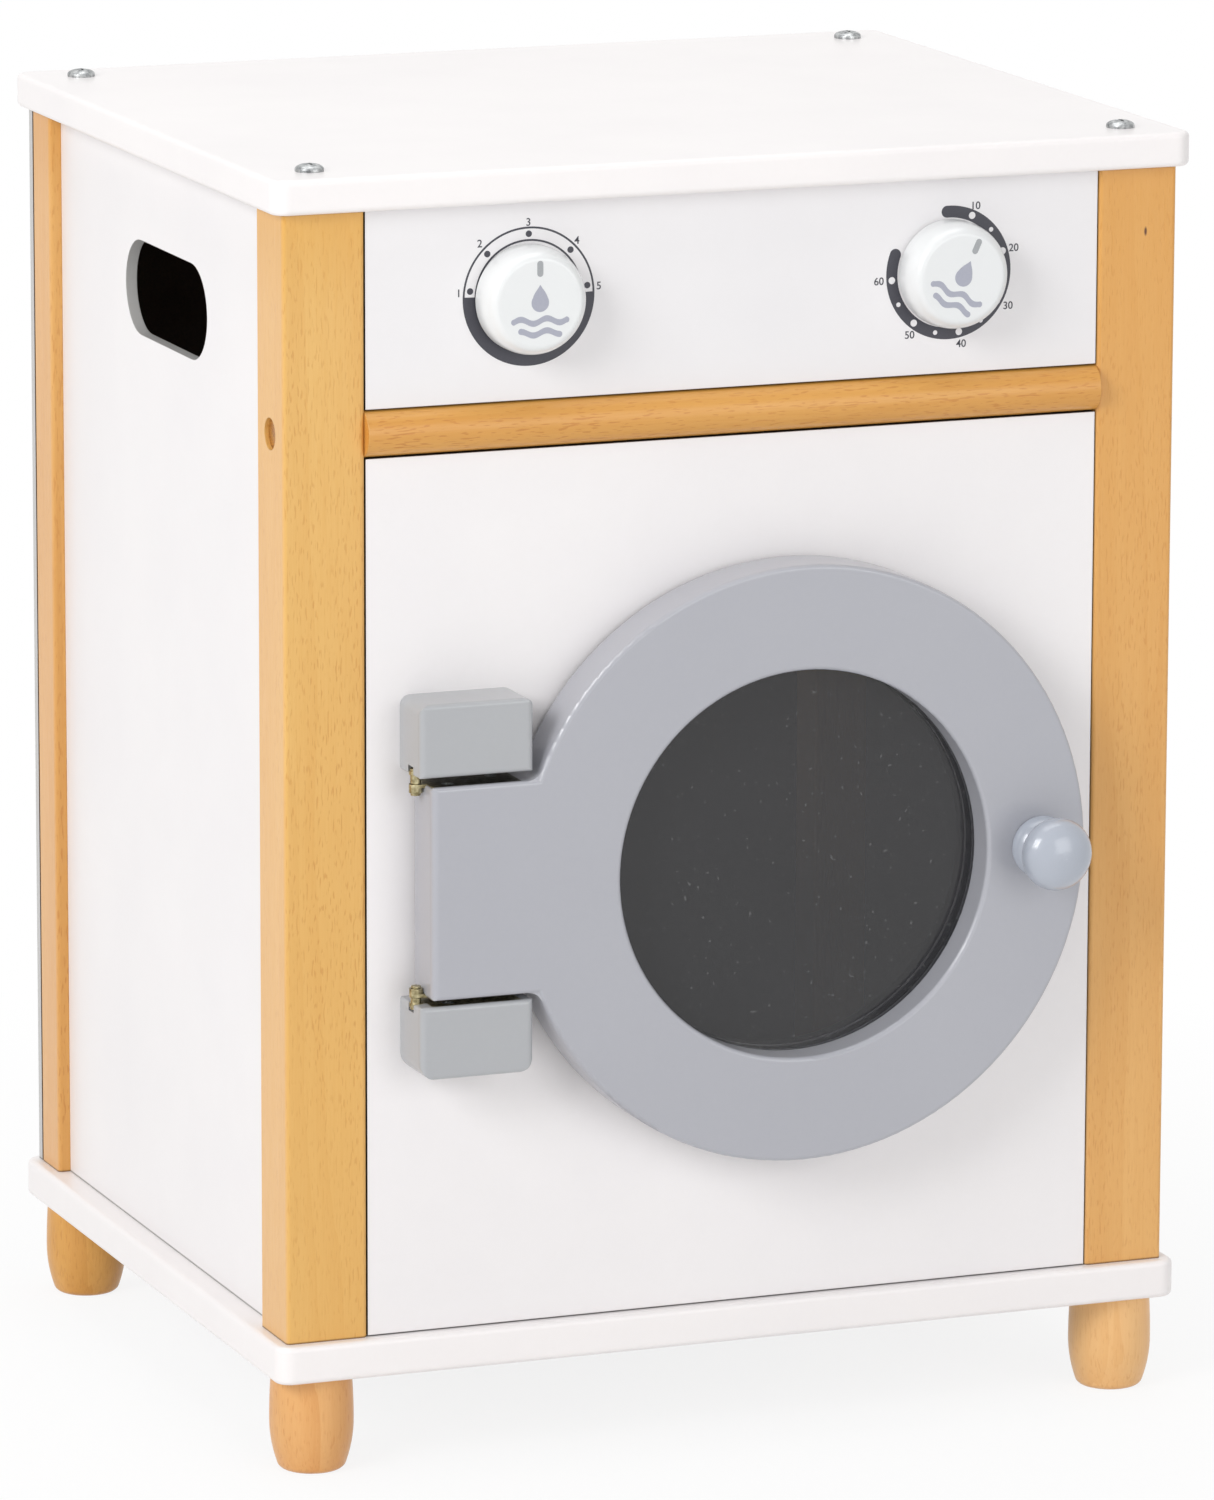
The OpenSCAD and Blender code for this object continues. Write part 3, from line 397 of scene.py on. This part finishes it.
# The grey paints' edge colours are paler than their tones: painted highlights along their rounded
# edges.
GREY = dict(rough=0.3, peel=0.04 * MM, edge_r=0.8 * MM)
DOOR_GREY = dict(
    GREY, tone=srgb(172, 173, 180), wear_and_highlight=srgb(202, 203, 206), coat=0.45, edge_share=0.6
)
grey_paint = lacquer("blue_grey_paint", **DOOR_GREY)
# The retainer's cut faces are painted dark, partly as unpainted board and partly as the shade behind
# the pane.
retainer_paint = lacquer(
    "retainer_grey_paint", flat=(0, 1, 0), cross_face_colour=srgb(40, 38, 38), dark_inside=False, **DOOR_GREY
)
block_paint = lacquer(
    "hinge_block_paint", srgb(172, 174, 177), srgb(202, 203, 204), coat=0.3, **GREY
)
knob_paint = lacquer(
    "knob_grey_paint", srgb(174, 180, 191), srgb(206, 206, 208), rough=0.22, coat=0.5, edge_share=0.3
)
zinc = metal("satin_zinc", srgb(192, 194, 194), srgb(116, 118, 120), 0.36)
BRASS = dict(tone=srgb(206, 197, 160), dull=srgb(124, 112, 78), rough=0.28, streak=(1, 20, 1))
BARREL_END_X = -0.157
brass = metal("rolled_brass", **BRASS)
# Painted shade: the leaves in the hinge gaps darken beyond the barrels.
gap_shaded_brass = metal("gap_shaded_brass", gap_shade_x=BARREL_END_X, **BRASS)
acrylic = smoked_acrylic("smoked_acrylic")
dark_ink = ink("dark_ink", srgb(56, 56, 65), srgb(72, 72, 80))
soft_ink = ink("soft_grey_ink", srgb(164, 166, 180), srgb(178, 180, 188))
pointer_ink = ink("pointer_grey_ink", srgb(158, 161, 164), srgb(176, 178, 180))

WARM = dict(tone=srgb(224, 170, 96), deep=srgb(213, 152, 75))
REAR_POST = dict(WARM, flecks=0.45, post=POST)
RAIL = srgb(225, 169, 88)
REAR_FOOT = dict(tone=RAIL, deep=srgb(205, 144, 58), flecks=0.3, streaks=0.5)
BEECH_NODES = {
    "front_left_post": dict(
        tone=srgb(229, 184, 106), deep=srgb(221, 169, 88), flecks=0.4, shift=(0.3, 0.1, 0.2),
        post=POST,
    ),
    "front_right_post": dict(
        tone=srgb(227, 175, 104), deep=srgb(218, 160, 86), flecks=0.35, shift=(1.7, 0.4, 1.1),
        post=POST, top_shade=(0.4, 0.55), knot=(0.2035, -0.15825, 0.556),
    ),
    "rear_left_post": dict(REAR_POST, shift=(2.9, 1.3, 0.7)),
    "rear_right_post": dict(REAR_POST, shift=(4.1, 2.2, 0.4)),
    "front_rail": dict(
        tone=RAIL, deep=srgb(211, 150, 68), grain="X", shift=(0.6, 3.1, 1.9), plug_x=0.18
    ),
    "control_panel_cleats": dict(WARM, shift=(5.2, 0.3, 0.6)),
    "front_panel_cleats": dict(WARM, shift=(6.1, 1.3, 2.6)),
    "front_left_foot": dict(
        tone=srgb(229, 178, 114), deep=srgb(219, 157, 90), flecks=0.35, streaks=0.6,
        shift=(7.2, 0.9, 0.1),
    ),
    "front_right_foot": dict(
        tone=srgb(236, 190, 130), deep=srgb(231, 178, 114), flecks=0.25, streaks=0.35,
        shift=(8.4, 0.2, 0.8),
    ),
    "rear_left_foot": dict(REAR_FOOT, shift=(9.3, 1.2, 0.5)),
    "rear_right_foot": dict(REAR_FOOT, shift=(10.6, 2.2, 0.3)),
    "program_spindle": dict(WARM, shift=(11.6, 0.7, 0.9)),
    "timer_spindle": dict(WARM, shift=(12.6, 0.1, 1.9)),
}
FINISHES = [
    (white_board, ("top_board", "bottom_board")),
    (front_white, ("front_panel",)),
    (left_white, ("left_side_panel",)),
    (right_white, ("right_side_panel",)),
    (back_white, ("back_panel",)),
    (fascia_white, ("control_panel",)),
    (dial_white, ("program_dial", "timer_dial")),
    (grey_paint, ("door_frame",)),
    (retainer_paint, ("window_retainer",)),
    (block_paint, ("upper_hinge_block", "lower_hinge_block")),
    (knob_paint, ("door_knob",)),
    (acrylic, ("door_window",)),
    (brass, ("lower_block_leaf", "hinge_pins")),
    (gap_shaded_brass, ("upper_block_leaf", "upper_door_leaf", "lower_door_leaf")),
    (
        zinc,
        (
            "back_panel_screws", "block_leaf_screws", "catch_magnet", "catch_plate",
            "catch_plate_screw", "cleat_screws", "door_knob_screw", "door_leaf_screws",
            "foot_bolts", "hinge_block_screws", "panel_screws", "program_screw",
            "program_washer", "retainer_screws", "timer_screw", "timer_washer", "top_screws",
        ),
    ),
]


def finish_node(name, material):
    """Gives every material slot of a CAD node this material."""
    for slot in NODES[name].material_slots:
        slot.material = material


for node_name, settings in BEECH_NODES.items():
    finish_node(node_name, beech("beech_" + node_name, **settings))
for material, node_names in FINISHES:
    for node_name in node_names:
        finish_node(node_name, material)


# ------------------------------------------------------------ printed marks

PRINT_T = 0.12 * MM
PRINT_SINK = 0.05 * MM
# A font's capital and digit height as a share of its size.
DIGIT_SHARE = 0.72


def arc(radius, start, end, centre=(0, 0)):
    """Points of an arc in mm, angles in degrees anticlockwise, about one each 4 degrees."""
    count = max(6, int(abs(end - start) / 4))
    angles = [math.radians(start + (end - start) * i / count) for i in range(count + 1)]
    return [(centre[0] + radius * math.cos(a), centre[1] + radius * math.sin(a)) for a in angles]


def disc(radius, centre):
    """Outline of a disc in mm."""
    return arc(radius, 0, 360, centre)[:-1]


def at(radius, angle):
    """A point in mm at a radius and an angle in degrees."""
    return (radius * math.cos(math.radians(angle)), radius * math.sin(math.radians(angle)))


def band(inner, outer, start, end, round_ends=False):
    """Outline of part of a ring, its ends square or round."""
    middle = (inner + outer) / 2
    half = (outer - inner) / 2
    cap_end = arc(half, end, end + 180, at(middle, end))[1:-1] if round_ends else []
    cap_start = arc(half, start + 180, start + 360, at(middle, start))[1:-1] if round_ends else []
    return arc(outer, start, end) + cap_end + arc(inner, end, start) + cap_start


def turned(points, angle):
    """Points turned about the dial's axis."""
    c, s = math.cos(math.radians(angle)), math.sin(math.radians(angle))
    return [(x * c - y * s, x * s + y * c) for x, y in points]


def as_piece(name, made, x, face_y, z, material, body):
    """A flat curve or text turned into a thin slab that lies on a face that looks along -Y."""
    bpy.context.scene.collection.objects.link(made)
    bpy.context.view_layer.update()
    evaluated = made.evaluated_get(bpy.context.evaluated_depsgraph_get())
    mesh = bpy.data.meshes.new_from_object(evaluated)
    bpy.data.objects.remove(made)
    place = Matrix.Translation((x, face_y + PRINT_SINK - PRINT_T / 2, z))
    mesh.transform(place @ Matrix.Rotation(math.pi / 2, 4, "X"))
    mesh.materials.clear()
    mesh.materials.append(material)
    piece = bpy.data.objects.new(name, mesh)
    bpy.context.scene.collection.objects.link(piece)
    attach(piece, body)
    return piece


def printed(name, outlines, x, face_y, z, material, body):
    """A piece made of closed outlines in mm; an outline inside another is a hole in it."""
    curve = bpy.data.curves.new(name, "CURVE")
    curve.dimensions = "2D"
    curve.fill_mode = "BOTH"
    curve.extrude = PRINT_T / 2
    for points in outlines:
        spline = curve.splines.new("POLY")
        spline.points.add(len(points) - 1)
        for target, (px, py) in zip(spline.points, points):
            target.co = (px * MM, py * MM, 0, 1)
        spline.use_cyclic_u = True
    as_piece(name, bpy.data.objects.new(name, curve), x, face_y, z, material, body)


def numbers(name, labels, height, x, face_y, z, material, body):
    """Upright numbers centred on places in mm about a dial's axis, joined into one piece."""
    parts = []
    for text, px, py in labels:
        font = bpy.data.curves.new(name, "FONT")
        font.body = text
        font.size = height / DIGIT_SHARE * MM
        font.offset = 0.05 * MM
        font.extrude = PRINT_T / 2
        label = bpy.data.objects.new(name + text, font)
        piece = as_piece(name + text, label, 0, face_y, 0, material, body)
        corners = [Vector(corner) for corner in piece.bound_box]
        centre = (corners[0] + corners[6]) / 2
        piece.data.transform(Matrix.Translation((x + px * MM - centre.x, 0, z + py * MM - centre.z)))
        parts.append(piece)
    with bpy.context.temp_override(active_object=parts[0], selected_editable_objects=parts):
        bpy.ops.object.join()
    parts[0].name = name
    parts[0].data.name = name


def middle(node):
    """Middle of a CAD node's box."""
    low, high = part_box(node)
    return (low + high) / 2


PROGRAM, TIMER = middle("program_dial"), middle("timer_dial")
FASCIA_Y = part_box("control_panel")[0].y
DIAL_FACE_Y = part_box("program_dial")[0].y
DIGIT_H = 3.6

# The program scale: two thin lines over the upper half, a filled band under them, five dots.
# It sits a little off the dial's axis, as printed.
SCALE_X, SCALE_Z = PROGRAM.x + 1.0 * MM, PROGRAM.z + 0.6 * MM
SCALE_IN, SCALE_OUT = 25.2, 31.8
LINE = 0.9
LINES_START, FILL_START, FILL_END = 1, 178, 361
PROGRAM_DOT_R, PROGRAM_DOTS_AT = 1.5, 28.5
PROGRAM_STEPS = (172.5, 134.5, 90, 45, 7)
PROGRAM_NUMBERS = [
    ("1", -33.7, 3.2), ("2", -23.6, 25.3), ("3", -0.2, 33.9), ("4", 23.2, 24.4), ("5", 33.9, 3.0)
]
program_outlines = [
    band(SCALE_OUT - LINE, SCALE_OUT, LINES_START, FILL_START),
    band(SCALE_IN, SCALE_IN + LINE, LINES_START, FILL_START),
    band(SCALE_IN, SCALE_OUT, FILL_START, FILL_END),
] + [disc(PROGRAM_DOT_R, at(PROGRAM_DOTS_AT, angle)) for angle in PROGRAM_STEPS]
printed("program_scale", program_outlines, SCALE_X, FASCIA_Y, SCALE_Z, dark_ink, "cabinet")
numbers(
    "program_numbers", PROGRAM_NUMBERS, DIGIT_H, SCALE_X, FASCIA_Y, SCALE_Z, dark_ink, "cabinet"
)

# The timer scale: one dark band with round ends, and unprinted dots: a large one at each number
# and a small one half-way between two.
TIMER_IN, TIMER_OUT = 25.5, 31
TIMER_START, TIMER_END = -200, 92
TIMER_DOTS_AT = 28.3
LARGE_DOT_R, SMALL_DOT_R = 1.65, 1.1
FIRST_STEP, TIMER_STEP = 66, 48.3
TIMER_NUMBERS = [
    ("10", 13.6, 30.4), ("20", 32.5, 9.9), ("30", 30.0, -16.9), ("40", 6.6, -33.3),
    ("50", -19.1, -27.9), ("60", -34.6, -2.2),
]


def timer_dot(radius, step):
    """Outline of an unprinted dot, a number of steps clockwise from the first number's."""
    return disc(radius, at(TIMER_DOTS_AT, FIRST_STEP - TIMER_STEP * step))


timer_outlines = [band(TIMER_IN, TIMER_OUT, TIMER_START, TIMER_END, round_ends=True)]
timer_outlines += [timer_dot(LARGE_DOT_R, k) for k in range(len(TIMER_NUMBERS))]
timer_outlines += [timer_dot(SMALL_DOT_R, k + 0.5) for k in range(len(TIMER_NUMBERS) - 1)]
printed("timer_scale", timer_outlines, TIMER.x, FASCIA_Y, TIMER.z, dark_ink, "cabinet")
numbers("timer_numbers", TIMER_NUMBERS, DIGIT_H, TIMER.x, FASCIA_Y, TIMER.z, dark_ink, "cabinet")


def drop(size, centre):
    """Outline of a water drop: a round body whose sides curve in to a point above it."""
    cx, cy = centre
    body = arc(size, 150, 390, centre)
    left = [
        (cx - size * (0.866 - 0.42 * t - 0.4 * t * t), cy + size * (0.5 + 1.3 * t))
        for t in (0.25, 0.5, 0.75)
    ]
    right = [(2 * cx - x, y) for x, y in reversed(left)]
    return body + right + [(cx, cy + size * 1.95)] + left


def wave(level, reach, bend, thick=2.8, length=12.6):
    """Outline of a wave-shaped stripe with round ends, reach to each side."""
    count = 24
    steps = [reach * (2 * i / count - 1) for i in range(count + 1)]
    line = [(x, level + bend * math.sin(2 * math.pi * x / length)) for x in steps]
    half = thick / 2
    tip = arc(half, 90, -90, line[-1])[1:-1]
    tail = arc(half, 270, 90, line[0])[1:-1]
    return (
        [(x, y + half) for x, y in line] + tip + [(x, y - half) for x, y in reversed(line)] + tail
    )


def bar(width, low, high):
    """Outline of an upright bar with round ends."""
    half = width / 2
    return arc(half, 0, 180, (0, high - half)) + arc(half, 180, 360, (0, low + half))


POINTER = bar(width=2.9, low=12.1, high=19.4)
MOTIF = [drop(4.2, (0, 0.3)), wave(-8.0, 12.6, 1.1), wave(-13.4, 9.2, 1.0)]
TIMER_ANGLE = -25


def dial_face(prefix, place, body, angle):
    """The pointer and a plain drop over two waves, turned with the dial."""
    pointer = [turned(POINTER, angle)]
    printed(prefix + "_pointer", pointer, place.x, DIAL_FACE_Y, place.z, pointer_ink, body)
    motif = [turned(points, angle) for points in MOTIF]
    printed(prefix + "_motif", motif, place.x, DIAL_FACE_Y, place.z, soft_ink, body)


dial_face("program", PROGRAM, "program_knob", 0)
dial_face("timer", TIMER, "timer_knob", TIMER_ANGLE)


# ------------------------------------------------------------------- stage

WHITE_LIGHT = (1, 1, 1, 1)
FLOOR_HALF = 15.0
# The floor is plain white far from the object; near it part of its own shade shows.
SHADE_NEAR, SHADE_FAR, GLOW_NEAR = 0.15, 0.8, 0.84

floor_mesh = bpy.data.meshes.new("floor")
floor_corners = [
    (x * FLOOR_HALF, y * FLOOR_HALF, 0) for x, y in ((-1, -1), (1, -1), (1, 1), (-1, 1))
]
floor_mesh.from_pydata(floor_corners, [], [(0, 1, 2, 3)])
floor = bpy.data.objects.new("floor", floor_mesh)
bpy.context.scene.collection.objects.link(floor)
pale = Shader("pale_floor")
pale.surface(Base_Color=(0.9, 0.9, 0.9, 1), Roughness=0.9, Specular_IOR_Level=0.1)
glow = pale.add("Emission", {"Color": WHITE_LIGHT, "Strength": 1.0}).outputs[0]
glow_share = pale.remap(pale.length(pale.coords), SHADE_NEAR, SHADE_FAR, GLOW_NEAR, 1)
glow_share = pale.calc("MULTIPLY", pale.background_rays(), glow_share)
lit_floor = pale.mixed(glow_share, pale.bsdf.outputs[0], glow)
pale.put(pale.output.inputs["Surface"], lit_floor)
floor_mesh.materials.append(pale.material)

WORLD_LEVEL = 0.42
world = bpy.data.worlds.new("studio")
bpy.context.scene.world = world
world.use_nodes = True
sky = Nodes(world.node_tree)
fill = sky.add("Background", {"Color": WHITE_LIGHT, "Strength": WORLD_LEVEL}).outputs[0]
seen = sky.add("Background", {"Color": WHITE_LIGHT, "Strength": 1.0}).outputs[0]
sky.add("OutputWorld", {"Surface": sky.mixed(sky.background_rays(), fill, seen)})


AIM = Vector((0, 0, 0.3))


def lamp(name, place, size, watts):
    """A square soft box at a place, aimed at the object's middle."""
    data = bpy.data.lights.new(name, "AREA")
    data.shape = "SQUARE"
    data.size = size
    data.energy = watts
    made = bpy.data.objects.new(name, data)
    made.location = place
    made.rotation_mode = "QUATERNION"
    made.rotation_quaternion = (AIM - Vector(place)).to_track_quat("-Z", "Y")
    bpy.context.scene.collection.objects.link(made)


lamp("key", (-3.4, -1.9, 2.3), 1.8, 94)
lamp("front_fill", (1.3, -4.0, 1.3), 2.4, 38)
lamp("overhead", (0, 0.3, 3.6), 2.6, 43)

CAMERA_PLACE = (-1.60624, -4.12642, 1.2337)
CAMERA_TURN = (78.02527, -0.1535, -21.22027)
camera = bpy.data.cameras.new("camera")
camera.sensor_width = 36
camera.lens = 228.493
camera.clip_start = 0.1
camera.clip_end = 60
camera_object = bpy.data.objects.new("camera", camera)
camera_object.location = CAMERA_PLACE
camera_object.rotation_euler = [math.radians(angle) for angle in CAMERA_TURN]
bpy.context.scene.collection.objects.link(camera_object)
bpy.context.scene.camera = camera_object
bpy.context.scene.view_settings.view_transform = "Standard"
